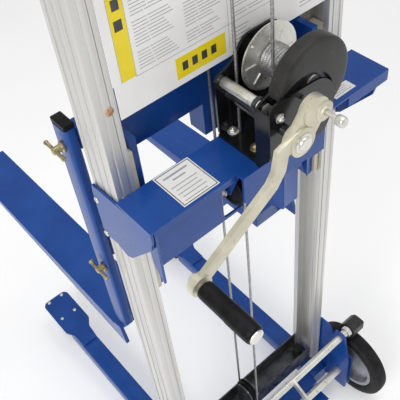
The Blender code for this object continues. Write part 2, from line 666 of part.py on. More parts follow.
def build_casters(finish):
    wheel_y = CASTER_Y - CASTER_TRAIL
    for label, side in SIDES:
        x = side * CASTER_X
        cheek = rounded([
            (CASTER_Y + 20, 78), (CASTER_Y - 22, 78), (wheel_y - 12, 34), (wheel_y - 6, 22),
            (wheel_y + 8, 22), (wheel_y + 14, 34)], 4, 2)
        cheeks = [prism("x", cheek, x + low, x + low + 3.0) for low in (-17.0, 14.0)]
        crown = rod("z", (x, CASTER_Y), 23.0, 76.0, LEG_TOP - 1.5, 20)
        pin = rod("x", (wheel_y, CASTER_RADIUS), 4.0, x - 19.0, x + 19.0, 12)
        part("caster_fork_" + label, finish["zinc"], [crown, *cheeks, pin],
             pivot=(x, CASTER_Y, LEG_TOP))
        part("caster_wheel_" + label, finish["black"], [
            turned("x", (wheel_y, CASTER_RADIUS), [
                (4.3, x - 12.0), (14.0, x - 10.5), (27.0, x - 10.5),
                (CASTER_RADIUS, x - 7.5), (CASTER_RADIUS, x + 7.5), (27.0, x + 10.5),
                (14.0, x + 10.5), (4.3, x + 12.0)], 24)],
            pivot=(x, wheel_y, CASTER_RADIUS))


def build_rear_wheels(finish):
    centre = (AXLE_Y, AXLE_Z)
    low, high = WHEEL_INNER_X, WHEEL_OUTER_X
    part("rear_axle", finish["zinc"], [rod("x", centre, 10.0, -high - 7.0, high + 7.0)])
    for label, side in SIDES:
        tyre = [(78.0, low + 4), (90.0, low), (100.0, low + 2), (AXLE_Z, low + 12),
                (AXLE_Z, high - 12), (100.0, high - 2), (90.0, high), (78.0, high - 4)]
        rim = [(10.3, low - 5), (20.0, low - 5), (20.0, low + 14), (66.0, low + 18),
               (70.0, low + 5), (77.7, low + 5), (77.7, high - 5), (70.0, high - 5),
               (66.0, low + 23), (20.0, low + 27), (20.0, high - 1), (10.3, high - 1)]
        pivot = (side * (low + high) / 2, AXLE_Y, AXLE_Z)
        part("rear_tyre_" + label, finish["rubber"],
             [turned("x", centre, [(r, side * x) for r, x in tyre], 40)], pivot=pivot)
        part("rear_rim_" + label, finish["grey"],
             [turned("x", centre, [(r, side * x) for r, x in rim], 28)], pivot=pivot)


def build_brake(finish):
    axis = (BRAKE_Y, BRAKE_Z)
    arms = [prism("x", band([axis, (-124, 240), (-160, 222)], 18, 5), low, low + 6.0)
            for low in (-66.0, 60.0)]
    tread = rod("x", (-160.0, 222.0), 8.0, -72.0, 72.0, 16)
    part("brake_rod", finish["zinc"], [
        rod("x", axis, 9.0, -302.0, 302.0, 20),
        *arms, tread], pivot=(0.0, *axis))
    for label, side in SIDES:
        shoe = prism("x", rounded([
            (-107, 272), (-78, 272), (-64, 252), (-64, 221), (-98, 221), (-107, 242)], 6, 3),
            *span(side, 260.0, 299.0))
        part("brake_block_" + label, finish["grey"], [shoe],
             [rod("x", axis, 9.3, *span(side, 255.0, 305.0), 20)], pivot=(side * 280.0, *axis))


def main():
    clear_scene()
    finish = {
        "blue": material("blue_paint", (0.02, 0.09, 0.42), 0.0, 0.35),
        "aluminium": material("aluminium", (0.62, 0.63, 0.64), 1.0, 0.38),
        "steel": material("dark_steel", (0.10, 0.11, 0.12), 0.8, 0.45),
        "zinc": material("bright_zinc", (0.70, 0.69, 0.66), 1.0, 0.28),
        "cast": material("nickel_casting", (0.66, 0.63, 0.55), 0.9, 0.32),
        "brass": material("yellow_zinc", (0.68, 0.55, 0.30), 1.0, 0.35),
        "black": material("black_plastic", (0.02, 0.02, 0.02), 0.0, 0.45),
        "rubber": material("black_rubber", (0.03, 0.03, 0.03), 0.0, 0.7),
        "grey": material("grey_paint", (0.16, 0.16, 0.17), 0.2, 0.45),
        "cream": material("cream_nylon", (0.75, 0.70, 0.58), 0.0, 0.5),
        "white": material("white_sheet", (0.85, 0.85, 0.85), 0.0, 0.4),
        "rope": material("wire_rope", (0.45, 0.45, 0.45), 1.0, 0.45),
    }
    build_masts(finish)
    build_mast_heads(finish)
    build_bottom_channel(finish)
    build_sign(finish)
    build_bracket(finish)
    build_winch_frame(finish)
    build_drum(finish)
    build_gear_cover(finish)
    build_crank(finish)
    build_ropes(finish)
    build_carriage(finish)
    build_forks(finish)
    build_legs(finish)
    build_casters(finish)
    build_rear_wheels(finish)
    build_brake(finish)


main()
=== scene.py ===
"""Looks of the hand-winch material lift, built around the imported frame."""

import json
import math

import bmesh
import bpy
from mathutils import Matrix, Vector


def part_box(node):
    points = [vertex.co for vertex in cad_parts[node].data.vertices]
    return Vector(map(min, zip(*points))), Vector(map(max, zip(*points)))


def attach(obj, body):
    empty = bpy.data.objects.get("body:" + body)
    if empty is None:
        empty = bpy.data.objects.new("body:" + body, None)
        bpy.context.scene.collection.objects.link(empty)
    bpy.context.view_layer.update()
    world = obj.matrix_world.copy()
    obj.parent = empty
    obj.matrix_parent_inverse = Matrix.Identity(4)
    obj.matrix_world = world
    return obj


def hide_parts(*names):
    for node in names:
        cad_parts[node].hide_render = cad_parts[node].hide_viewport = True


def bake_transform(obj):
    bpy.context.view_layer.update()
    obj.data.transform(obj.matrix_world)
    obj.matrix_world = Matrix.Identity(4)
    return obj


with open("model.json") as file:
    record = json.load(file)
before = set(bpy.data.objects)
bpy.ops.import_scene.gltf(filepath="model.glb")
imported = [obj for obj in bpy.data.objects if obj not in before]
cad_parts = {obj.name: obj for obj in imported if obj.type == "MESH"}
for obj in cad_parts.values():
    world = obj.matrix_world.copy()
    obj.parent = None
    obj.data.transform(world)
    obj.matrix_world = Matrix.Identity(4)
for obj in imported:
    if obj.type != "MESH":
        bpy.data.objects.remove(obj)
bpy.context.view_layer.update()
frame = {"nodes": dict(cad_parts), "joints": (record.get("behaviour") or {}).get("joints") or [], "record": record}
MM = 0.001

# Places and sizes in metres
CHANNEL_FLOOR = 0.131
MAST_SCREW_HEIGHTS = (1.2226, 1.560)
MAST_SCREW_X = 0.2035
EAR_FACE_X = 0.2275
COVER_RADIUS = 0.066
COVER_OPENING = (0.018, 1.150)
COVER_OPENING_RADIUS_MM = 60.0
BRAKE_COLLAR_X = 0.2478

# Light and camera
WORLD_STRENGTH = 0.50
FLOOR_GLOW = 0.24
LIGHT_TARGET = (0.0, -0.25, 1.0)
LIGHTS = (
    ("key", (-2.6, -1.2, 2.6), 1.6, 46.0),
    ("top", (0.3, -0.3, 3.6), 2.4, 34.0),
    ("fill", (1.8, -2.6, 1.6), 2.0, 7.0),
)
CAMERA_PLACE = (-0.4846, -0.8268, 1.7417)
CAMERA_DEGREES = (44.1229, 3.9905, -41.4734)
CAMERA_LENS = 60.3944
CAMERA_SHIFT = (-0.0477, -0.0684)

NODES = frame["nodes"]
RECORD = frame["record"]
BODY_OF = {n: body for body, names in RECORD["behaviour"]["bodies"].items() for n in names}
SLOT_OF = {row["node"]: row["material_slot"] for row in RECORD["subparts"]}
JOINTS = {joint["name"]: joint for joint in frame["joints"]}


# ------------------------------------------------------------ materials

def surface(name, dark, light, metallic, rough, scale=30.0, stretch=(1, 1, 1),
            grain=(900.0, 0.12), coat=0.0, marks=None, shine=0.5):
    """Two tones mixed by a broad noise, a roughness that varies, a fine bump and scattered marks."""
    made = bpy.data.materials.new(name)
    made.use_nodes = True
    nodes, links = made.node_tree.nodes, made.node_tree.links
    shader = nodes["Principled BSDF"]
    shader.inputs["Metallic"].default_value = metallic
    shader.inputs["Specular IOR Level"].default_value = shine
    shader.inputs["Coat Weight"].default_value = coat
    shader.inputs["Coat Roughness"].default_value = 0.12
    mapping = nodes.new("ShaderNodeMapping")
    mapping.inputs["Scale"].default_value = stretch
    coords = nodes.new("ShaderNodeTexCoord")
    links.new(coords.outputs["Object"], mapping.inputs["Vector"])

    def noise(frequency, detail=4.0):
        node = nodes.new("ShaderNodeTexNoise")
        node.inputs["Scale"].default_value = frequency
        node.inputs["Detail"].default_value = detail
        links.new(mapping.outputs["Vector"], node.inputs["Vector"])
        return node.outputs["Fac"]

    def ranged(value, low, high, to_low, to_high):
        node = nodes.new("ShaderNodeMapRange")
        for key, number in zip(("From Min", "From Max", "To Min", "To Max"),
                               (low, high, to_low, to_high)):
            node.inputs[key].default_value = number
        links.new(value, node.inputs["Value"])
        return node.outputs["Result"]

    def mixed(factor, first, second):
        node = nodes.new("ShaderNodeMix")
        node.data_type = "RGBA"
        links.new(factor, node.inputs[0])
        for socket, colour in ((node.inputs[6], first), (node.inputs[7], second)):
            if isinstance(colour, tuple):
                socket.default_value = (*colour, 1.0)
            else:
                links.new(colour, socket)
        return node.outputs[2]

    broad = noise(scale)
    fine = noise(grain[0])
    colour = mixed(ranged(broad, 0.35, 0.65, 0.0, 1.0), dark, light)
    if marks:
        tint, frequency, edge = marks
        colour = mixed(ranged(noise(frequency, 8.0), edge, edge + 0.08, 0.0, 1.0), colour, tint)
    links.new(colour, shader.inputs["Base Color"])
    links.new(ranged(broad, 0.3, 0.7, *rough), shader.inputs["Roughness"])
    bump = nodes.new("ShaderNodeBump")
    bump.inputs["Strength"].default_value = grain[1]
    bump.inputs["Distance"].default_value = 0.0002
    links.new(fine, bump.inputs["Height"])
    links.new(bump.outputs["Normal"], shader.inputs["Normal"])
    return made


FINISH = {
    "blue_paint": surface(
        "blue_enamel", (0.006, 0.055, 0.27), (0.009, 0.070, 0.32), 0.0, (0.26, 0.36), 14.0,
        grain=(650.0, 0.10), coat=0.10, marks=((0.02, 0.12, 0.44), 60.0, 0.70), shine=0.32),
    "aluminium": surface(
        "drawn_aluminium", (0.60, 0.595, 0.57), (0.74, 0.735, 0.71), 0.75, (0.34, 0.50), 160.0,
        stretch=(1, 1, 0.012), grain=(700.0, 0.22), marks=((0.46, 0.45, 0.42), 90.0, 0.63)),
    "dark_steel": surface(
        "oiled_steel", (0.055, 0.058, 0.065), (0.12, 0.125, 0.13), 0.75, (0.24, 0.42), 45.0,
        grain=(500.0, 0.2), marks=((0.26, 0.24, 0.20), 110.0, 0.64)),
    "bright_zinc": surface(
        "bright_zinc_plate", (0.66, 0.65, 0.60), (0.80, 0.79, 0.74), 0.72, (0.24, 0.40), 55.0,
        grain=(800.0, 0.14), marks=((0.40, 0.38, 0.33), 150.0, 0.66)),
    "nickel_casting": surface(
        "satin_nickel", (0.57, 0.54, 0.42), (0.69, 0.66, 0.52), 0.5, (0.32, 0.46), 35.0,
        grain=(700.0, 0.16), marks=((0.42, 0.37, 0.28), 120.0, 0.66)),
    "yellow_zinc": surface(
        "yellow_zinc_plate", (0.34, 0.27, 0.13), (0.56, 0.48, 0.28), 0.85, (0.22, 0.40), 70.0,
        grain=(800.0, 0.15), marks=((0.22, 0.16, 0.09), 130.0, 0.60)),
    "black_plastic": surface(
        "black_moulding", (0.006, 0.006, 0.007), (0.013, 0.013, 0.014), 0.0, (0.34, 0.48), 60.0,
        grain=(1200.0, 0.20), shine=0.14),
    "black_paint": surface(
        "black_enamel", (0.005, 0.005, 0.006), (0.011, 0.011, 0.012), 0.0, (0.14, 0.24), 30.0,
        grain=(500.0, 0.10), coat=0.15, marks=((0.05, 0.048, 0.045), 120.0, 0.70), shine=0.35),
    "black_rubber": surface(
        "tyre_rubber", (0.010, 0.010, 0.011), (0.024, 0.024, 0.024), 0.0, (0.50, 0.66), 50.0,
        grain=(900.0, 0.3), marks=((0.07, 0.066, 0.06), 70.0, 0.68), shine=0.2),
    "grey_paint": surface(
        "textured_grey", (0.020, 0.020, 0.019), (0.036, 0.035, 0.033), 0.1, (0.32, 0.44), 40.0,
        grain=(1500.0, 0.45), marks=((0.09, 0.09, 0.085), 160.0, 0.68), shine=0.35),
    "cream_nylon": surface(
        "cream_nylon", (0.62, 0.56, 0.43), (0.72, 0.67, 0.55), 0.0, (0.42, 0.55), 50.0,
        grain=(900.0, 0.15)),
    "white_sheet": surface(
        "white_laminate", (0.80, 0.79, 0.775), (0.86, 0.855, 0.845), 0.0, (0.28, 0.36), 12.0,
        grain=(400.0, 0.05)),
    "wire_rope": surface(
        "galvanised_wire", (0.26, 0.26, 0.255), (0.46, 0.46, 0.45), 0.8, (0.30, 0.45), 300.0,
        grain=(1500.0, 0.3)),
}
WHEEL_GREY = surface("rim_lacquer", (0.30, 0.31, 0.32), (0.42, 0.43, 0.44), 0.6, (0.26, 0.40), 40.0,
                     marks=((0.18, 0.18, 0.18), 90.0, 0.66))
YELLOW = surface("yellow_ink", (0.80, 0.62, 0.01), (0.86, 0.70, 0.02), 0.0, (0.30, 0.38), 18.0)
GREY_INK = surface("grey_ink", (0.30, 0.30, 0.31), (0.40, 0.40, 0.41), 0.0, (0.34, 0.42), 260.0)
DARK_INK = surface("dark_ink", (0.03, 0.03, 0.035), (0.06, 0.06, 0.065), 0.0, (0.32, 0.40), 200.0)
COPPER = surface("copper_plate", (0.50, 0.26, 0.15), (0.66, 0.40, 0.26), 0.8, (0.26, 0.40), 120.0)


# ------------------------------------------------------------ shapes

def piece(name, mesh_or_bm, body, finish, replaces=(), bevel=0.0, angle=38.0):
    """A named piece that rides a body, with bevelled edges and smooth shading."""
    mesh = mesh_or_bm
    if isinstance(mesh_or_bm, bmesh.types.BMesh):
        bmesh.ops.recalc_face_normals(mesh_or_bm, faces=mesh_or_bm.faces)
        mesh = bpy.data.meshes.new(name)
        mesh_or_bm.to_mesh(mesh)
        mesh_or_bm.free()
    mesh.materials.clear()
    mesh.materials.append(finish)
    mesh.shade_smooth()
    mesh.set_sharp_from_angle(angle=math.radians(angle))
    obj = bpy.data.objects.new(name, mesh)
    bpy.context.scene.collection.objects.link(obj)
    if bevel:
        rounding = obj.modifiers.new("rounding", "BEVEL")
        rounding.width = bevel * MM
        rounding.segments = 2
        rounding.limit_method = "ANGLE"
        rounding.angle_limit = math.radians(angle)
        rounding.harden_normals = True
    if body:
        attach(obj, body)
    if replaces:
        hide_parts(*replaces)
    return obj


def refined(node, bevel, finish=None, angle=38.0):
    """The CAD node's own shape with rounded edges, shown in its place."""
    bm = bmesh.new()
    bm.from_mesh(NODES[node].data)
    bmesh.ops.remove_doubles(bm, verts=bm.verts, dist=2e-5)
    bmesh.ops.dissolve_limit(bm, angle_limit=math.radians(0.8), verts=bm.verts, edges=bm.edges)
    slot = SLOT_OF[node]
    return piece("shown_" + node, bm, BODY_OF[node], finish or FINISH[slot], (node,),
                 bevel, angle)


def basis(direction):
    """Two unit vectors square to the direction and to each other."""
    along = Vector(direction).normalized()
    first = along.cross(Vector((0, 0, 1)))
    if first.length < 1e-3:
        first = along.cross(Vector((0, 1, 0)))
    first.normalize()
    return along, first, along.cross(first).normalized()


def revolved(start, direction, profile, count=96, wave=None):
    """A closed profile of (radius, distance) in mm turned about an axis. wave(angle, j) adds to a radius."""
    along, u, v = basis(direction)
    origin = Vector(start)
    bm = bmesh.new()
    rings = []
    for i in range(count):
        angle = 2 * math.pi * i / count
        out = u * math.cos(angle) + v * math.sin(angle)
        ring = []
        for j, (radius, distance) in enumerate(profile):
            extra = wave(angle, j) if wave else 0.0
            ring.append(bm.verts.new(origin + (out * (radius + extra) + along * distance) * MM))
        rings.append(ring)
    size = len(profile)
    for i in range(count):
        here, there = rings[i], rings[(i + 1) % count]
        for j in range(size):
            k = (j + 1) % size
            bm.faces.new((here[j], here[k], there[k], there[j]))
    bmesh.ops.remove_doubles(bm, verts=bm.verts, dist=1e-6)
    bmesh.ops.dissolve_degenerate(bm, edges=bm.edges, dist=1e-7)
    return bm


def solid_profile(points, core=0.0):
    """Closes a profile of outer points onto the axis, or onto a bore."""
    return [(core, points[0][1]), *points, (core, points[-1][1])]


def slab(low, high):
    """A box between two corners in metres, as a bmesh."""
    bm = bmesh.new()
    bmesh.ops.create_cube(bm, size=1.0)
    low, high = Vector(low), Vector(high)
    size = high - low
    for vert in bm.verts:
        vert.co = Vector((vert.co.x * size.x, vert.co.y * size.y, vert.co.z * size.z)) + (low + high) / 2
    return bm


def merged(*parts):
    """One bmesh from several."""
    whole = bmesh.new()
    for bm in parts:
        mesh = bpy.data.meshes.new("merge")
        bm.to_mesh(mesh)
        bm.free()
        whole.from_mesh(mesh)
        bpy.data.meshes.remove(mesh)
    return whole


def hexagon(start, direction, across, height):
    """A hexagon head with its corners turned down, from start along direction, in mm."""
    radius = across / math.sqrt(3)
    along, u, v = basis(direction)
    origin = Vector(start)
    bm = bmesh.new()
    rings = []
    for size, level in ((radius, 0.0), (radius, height * 0.8), (radius * 0.86, height)):
        rings.append([
            bm.verts.new(origin + ((u * math.cos(a) + v * math.sin(a)) * size + along * level) * MM)
            for a in (math.pi / 3 * i for i in range(6))])
    for lower, upper in zip(rings, rings[1:]):
        for i in range(6):
            bm.faces.new((lower[i], lower[(i + 1) % 6], upper[(i + 1) % 6], upper[i]))
    bm.faces.new(rings[0])
    bm.faces.new(rings[-1])
    return bm


def bolt(name, start, direction, across, body, finish):
    """A hexagon bolt head on a washer, with the thread's end showing."""
    along = Vector(direction).normalized()
    washer = revolved(start, direction, solid_profile(
        [(across * 0.84, 0.0), (across * 0.88, 0.4), (across * 0.88, 1.2), (across * 0.82, 1.6)]), 40)
    head = hexagon(Vector(start) + along * 1.5 * MM, direction, across, across * 0.5)
    stud = revolved(Vector(start) + along * (1.5 + across * 0.45) * MM, direction, solid_profile(
        [(across * 0.28, 0.0), (across * 0.28, 1.6), (across * 0.2, 2.4)]), 24)
    return piece(name, merged(washer, head, stud), body, finish)


def button_screw(name, start, direction, radius, body, finish):
    """A low domed screw head with a socket."""
    dome = [(radius, 0.0), (radius, 0.6), (radius * 0.9, 1.4), (radius * 0.62, 2.2),
            (radius * 0.42, 2.35), (radius * 0.42, 1.2)]
    return piece(name, revolved(start, direction, solid_profile(dome), 32), body, finish)


def axis_of(joint):
    row = JOINTS[joint]
    return Vector(row["pos_m"]), Vector(row["axis"]).normalized()


# ------------------------------------------------------------ rope

def stranded(points, radius, pitch=0.020, step=0.0022, lobes=6, around=18):
    """A rope of twisted strands along the points."""
    line = [Vector(points[0])]
    for a, b in zip(points, points[1:]):
        a, b = Vector(a), Vector(b)
        count = max(1, round((b - a).length / step))
        line += [a.lerp(b, (i + 1) / count) for i in range(count)]
    bm = bmesh.new()
    rings, travelled = [], 0.0
    side = None
    for i, point in enumerate(line):
        ahead = line[min(i + 1, len(line) - 1)] - line[max(i - 1, 0)]
        ahead.normalize()
        if side is None:
            side = basis(ahead)[1]
        side = (side - ahead * side.dot(ahead)).normalized()
        across = ahead.cross(side)
        if i:
            travelled += (point - line[i - 1]).length
        twist = 2 * math.pi * travelled / (pitch * lobes)
        ring = []
        for k in range(around):
            angle = 2 * math.pi * k / around
            lobe = abs(math.cos(lobes / 2 * (angle - twist * lobes)))
            size = radius * (0.84 + 0.16 * lobe)
            ring.append(bm.verts.new(point + (side * math.cos(angle) + across * math.sin(angle)) * size))
        rings.append(ring)
    for here, there in zip(rings, rings[1:]):
        for k in range(around):
            bm.faces.new((here[k], here[(k + 1) % around], there[(k + 1) % around], there[k]))
    bm.faces.new(rings[0])
    bm.faces.new(rings[-1])
    return bm


ROPE = 0.0025
HEAD, _ = axis_of("head_sheave_spin")
GUIDE, _ = axis_of("guide_sheave_spin")
BOTTOM, _ = axis_of("bottom_sheave_spin")
INNER_HEAD, _ = axis_of("inner_head_sheave_spin")
CRANK, _ = axis_of("crank_spin")
DRUM, _ = axis_of("drum_spin")
GRIP, _ = axis_of("grip_spin")


def arc(centre, radius, across, start, end, steps=28):
    return [centre + across * (radius * math.cos(a)) + Vector((0, 0, radius * math.sin(a)))
            for a in (start + (end - start) * i / steps for i in range(steps + 1))]


def build_ropes():
    finish, slot = FINISH["wire_rope"], "wire_rope"
    low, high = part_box("rope_front_run")
    x, y = (low.x + high.x) / 2, (low.y + high.y) / 2
    front = stranded([(x, y, high.z), (x, y, low.z)], ROPE)
    run = piece("rope_front", front, None, finish, ("rope_front_run",))
    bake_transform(run)
    low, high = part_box("rope_carriage_run")
    x2, y2 = (low.x + high.x) / 2, (low.y + high.y) / 2
    back = stranded([(x2, y2, high.z), (x2, y2, low.z)], ROPE)
    run = piece("rope_carriage", back, None, finish, ("rope_carriage_run",))
    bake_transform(run)
    toward = Vector((0, 1, 0))
    under = arc(BOTTOM, BOTTOM.y - y, toward, math.pi, 2 * math.pi)
    over = arc(INNER_HEAD, y2 - INNER_HEAD.y, toward, math.pi, 0.0)
    piece("rope_inner", stranded([*under, *over], ROPE), "inner_mast", finish,
          ("rope_inner_run",))
    level = Vector((x, y, HEAD.z)) - HEAD
    radius = level.length
    over = arc(HEAD, radius, level.normalized(), math.pi, 0.0)
    start = over[0].copy()
    start.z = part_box("rope_winch_run")[0].z
    piece("rope_winch", stranded([start, *over], ROPE), "base", finish, ("rope_winch_run",))


def build_windings():
    low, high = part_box("rope_on_drum")
    inner, outer = 19.4, (high.z - low.z) / 2 / MM - 0.05
    pitch = 2 * ROPE / MM
    wide = (high.y - low.y) / MM
    turns = int(wide / pitch)
    margin = (wide - turns * pitch) / 2
    profile = [(inner, 0.3), (outer - 2.6, 0.3)]
    for turn in range(turns):
        for k in range(1, 8):
            angle = math.pi * k / 8
            profile.append((outer - 2.5 + 2.5 * math.sin(angle),
                            margin + pitch * (turn + 0.5 - 0.5 * math.cos(angle))))
    profile += [(outer - 2.6, wide - 0.3), (inner, wide - 0.3)]
    count = len(profile)

    def strands(angle, j):
        if j < 2 or j >= count - 2:
            return 0.0
        return -0.35 * (0.5 + 0.5 * math.sin(46 * angle + 0.9 * j))

    start = Vector((DRUM.x, low.y, DRUM.z))
    piece("drum_windings", revolved(start, (0, 1, 0), profile, 276, strands), "drum",
          FINISH["wire_rope"], ("rope_on_drum",), angle=70)


# ------------------------------------------------------------ wheels and sheaves

def build_sheaves():
    for node, joint in (("guide_sheave", "guide_sheave_spin"), ("bottom_sheave", "bottom_sheave_spin"),
                        ("head_sheave", "head_sheave_spin"),
                        ("inner_head_sheave", "inner_head_sheave_spin")):
        point, direction = axis_of(joint)
        low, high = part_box(node)
        rim = (high.z - low.z) / 2 / MM - 0.05
        root = rim - 5.8
        half = 5.95
        groove = [(root + 2.5 - 2.5 * math.cos(a), 2.9 * math.sin(a))
                  for a in (math.radians(d) for d in range(-90, 91, 15))]
        profile = [(5.3, -half), (rim * 0.42, -half), (rim * 0.46, -half + 1.6), (rim * 0.80, -half + 1.6),
                   (rim * 0.84, -half), (rim - 0.6, -half), (rim, -half + 0.6), (rim, -4.3),
                   *groove, (rim, 4.3), (rim, half - 0.6), (rim - 0.6, half), (rim * 0.84, half),
                   (rim * 0.80, half - 1.6), (rim * 0.46, half - 1.6), (rim * 0.42, half), (5.3, half)]
        piece("turned_" + node, revolved(point, direction, profile, 88), BODY_OF[node],
              FINISH["black_plastic"], (node,))
        ring = [(5.4, -half - 0.02), (9.0, -half - 0.02), (9.0, half + 0.02), (5.4, half + 0.02)]
        piece("bearing_" + node, revolved(point, direction, ring, 48), BODY_OF[node],
              FINISH["bright_zinc"])


def build_rear_wheels():
    for side, sign in (("left", -1), ("right", 1)):
        tyre, rim = "rear_tyre_" + side, "rear_rim_" + side
        body = BODY_OF[tyre]
        point, _ = axis_of(f"rear_wheel_{side}_spin")
        out = Vector((sign, 0, 0))
        low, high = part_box(tyre)
        half = (high.x - low.x) / 2 / MM - 0.1
        top = (high.z - low.z) / 2 / MM - 0.02
        tread = []
        for k in range(-4, 5):
            centre = k * half * 0.145
            dip = 0.16 * abs(k) ** 2 * 0.6
            tread += [(top - dip - 1.5, centre - 1.6), (top - dip, centre - 1.1),
                      (top - dip, centre + 1.1), (top - dip - 1.5, centre + 1.6)]
        wall = [(79.0, half - 4.5), (84.0, half - 1.5), (90.0, half), (96.0, half - 0.2),
                (96.8, half - 0.9), (101.0, half - 2.2), (104.5, half - 5.0)]
        profile = [(r, -d) for r, d in wall] + tread + [(r, d) for r, d in reversed(wall)]

        def blocks(angle, j, first=len(wall), count=len(tread)):
            at_edge = j < first + 8 or j >= first + count - 8
            if first <= j < first + count and at_edge:
                return -1.3 if (angle * 60 / math.pi) % 2 > 1.35 else 0.0
            return 0.0

        piece("moulded_" + tyre, revolved(point, out, profile, 240, blocks), body,
              FINISH["black_rubber"], (tyre,), angle=50)
        low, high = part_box(rim)
        centre = point.x
        near = (min(abs(low.x), abs(high.x)) - abs(centre)) / MM
        far = (max(abs(low.x), abs(high.x)) - abs(centre)) / MM
        dish = [
            (10.4, near), (20.0, near), (20.0, near + 19), (30.0, near + 21), (62.0, near + 23),
            (69.0, near + 10.5), (77.6, near + 10), (77.6, near + 13), (71.0, near + 14),
            (66.0, near + 27), (60.0, near + 28), (52.0, near + 31), (34.0, near + 30),
            (26.0, near + 33), (24.0, far - 4), (20.0, far), (10.4, far)]
        lip = [(70.2, 13.0), (72.0, 15.2), (77.5, 15.2), (77.5, -15.0), (71.5, -15.0), (70.2, -10.0)]
        piece("pressed_" + rim, merged(revolved(point, out, dish, 96), revolved(point, out, lip, 96)),
              body, WHEEL_GREY, (rim,), bevel=0.4)
        for k in range(5):
            angle = 2 * math.pi * k / 5
            spot = point + Vector((sign * (near + 31) * MM, 0.043 * math.cos(angle), 0.043 * math.sin(angle)))
            bolt(f"rim_bolt_{side}_{k}", spot, out, 8.0, body, FINISH["bright_zinc"])
        end = Vector((sign * (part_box("rear_axle")[1].x - 7.2 * MM), point.y, point.z))
        nut = merged(revolved(end, out, [(10.2, 0.2), (16.0, 0.2), (16.0, 1.6), (10.2, 1.6)], 40),
                     revolved(end, out, solid_profile([
                         (14.0, 1.7), (14.0, 3.4), (12.0, 6.4), (7.0, 7.0)]), 40))
        piece("axle_cap_" + side, nut, "base", FINISH["bright_zinc"])


def build_casters():
    for side in ("left", "right"):
        node = "caster_wheel_" + side
        point, direction = axis_of(f"caster_{side}_roll")
        tread = [(30.0 - 0.045 * d * d, d) for d in range(-8, 9, 2)]
        profile = [(9.0, -11.0), (26.0, -10.2), (28.0, -9.3), *tread, (28.0, 9.3), (26.0, 10.2), (9.0, 11.0)]
        piece("moulded_" + node, revolved(point, direction, profile, 72), BODY_OF[node],
              FINISH["black_plastic"], (node,))
        hub = [(4.4, -11.9), (8.9, -11.9), (8.9, 11.9), (4.4, 11.9)]
        piece("hub_" + node, revolved(point, direction, hub, 40), BODY_OF[node], WHEEL_GREY)
        refined("caster_fork_" + side, 0.5)


# ------------------------------------------------------------ winch

def build_drum():
    low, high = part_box("winch_drum")
    start = Vector((DRUM.x, low.y, DRUM.z))

    def at(y_from_far_end):
        return (high.y - low.y) / MM - y_from_far_end

    far = at(25.0)
    near = at(82.5)
    profile = [
        (0.0, 0.0), (8.8, 0.0), (9.9, 1.0), (9.9, near - 0.3), (48.5, near), (50.0, near + 1.3),
        (48.5, near + 2.9), (19.0, near + 2.9), (19.0, far - 0.3), (22.0, far - 0.5), (24.0, far + 0.2),
        (47.5, far + 0.3), (49.5, far - 0.3), (52.2, far + 0.5), (52.4, far + 1.8), (51.6, far + 3.0),
        (49.0, far + 2.9), (9.9, far + 2.9), (9.9, at(1.0)), (8.8, at(0.0)), (0.0, at(0.0))]
    ribs = [slab((DRUM.x - 0.0016, start.y + (far - 1.3) * MM, DRUM.z + 0.027),
                 (DRUM.x + 0.0016, start.y + (far + 0.6) * MM, DRUM.z + 0.0455)) for _ in range(8)]
    for k, rib in enumerate(ribs):
        turn = Matrix.Translation(DRUM) @ Matrix.Rotation(math.pi / 4 * k, 4, "Y") @ Matrix.Translation(-DRUM)
        bmesh.ops.transform(rib, matrix=turn, verts=rib.verts)
    piece("turned_winch_drum", revolved(start, (0, 1, 0), profile, 120), "drum",
          FINISH["bright_zinc"], ("winch_drum",))
    piece("drum_ribs", merged(*ribs), "drum", FINISH["bright_zinc"], bevel=0.35)


def build_gear_cover():
    _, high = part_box("gear_cover")
    centre = Vector((high.x - COVER_RADIUS, high.y, high.z - COVER_RADIUS))
    profile = [
        (0.0, 20.6), (8.0, 20.7), (10.5, 21.5), (14.0, 21.9), (59.0, 21.9), (62.6, 21.3),
        (65.2, 19.4), (65.9, 16.5), (65.9, 0.4),
        (65.4, 0.05), (64.0, 0.05), (63.6, 0.4), (63.6, 16.2), (63.0, 18.4), (61.0, 19.3), (58.0, 19.6),
        (0.0, 19.6)]
    shell = piece("pressed_gear_cover", revolved(centre, (0, -1, 0), profile, 144), None,
                  FINISH["grey_paint"], ("gear_cover",))
    hole = Vector((COVER_OPENING[0], centre.y + 0.01, COVER_OPENING[1]))
    cutter_mesh = bpy.data.meshes.new("cutter")
    cutter_bm = revolved(hole, (0, -1, 0), solid_profile([
        (COVER_OPENING_RADIUS_MM, 0.0), (COVER_OPENING_RADIUS_MM, 50.0)]), 120)
    bmesh.ops.recalc_face_normals(cutter_bm, faces=cutter_bm.faces)
    cutter_bm.to_mesh(cutter_mesh)
    cutter_bm.free()
    cutter = bpy.data.objects.new("cutter", cutter_mesh)
    bpy.context.scene.collection.objects.link(cutter)
    cut = shell.modifiers.new("opening", "BOOLEAN")
    cut.operation = "DIFFERENCE"
    cut.solver = "EXACT"
    cut.object = cutter
    graph = bpy.context.evaluated_depsgraph_get()
    mesh = bpy.data.meshes.new_from_object(shell.evaluated_get(graph), depsgraph=graph)
    shell.modifiers.clear()
    shell.data = mesh
    bpy.data.objects.remove(cutter, do_unlink=True)
    mesh.shade_smooth()
    mesh.set_sharp_from_angle(angle=math.radians(38))
    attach(shell, "base")


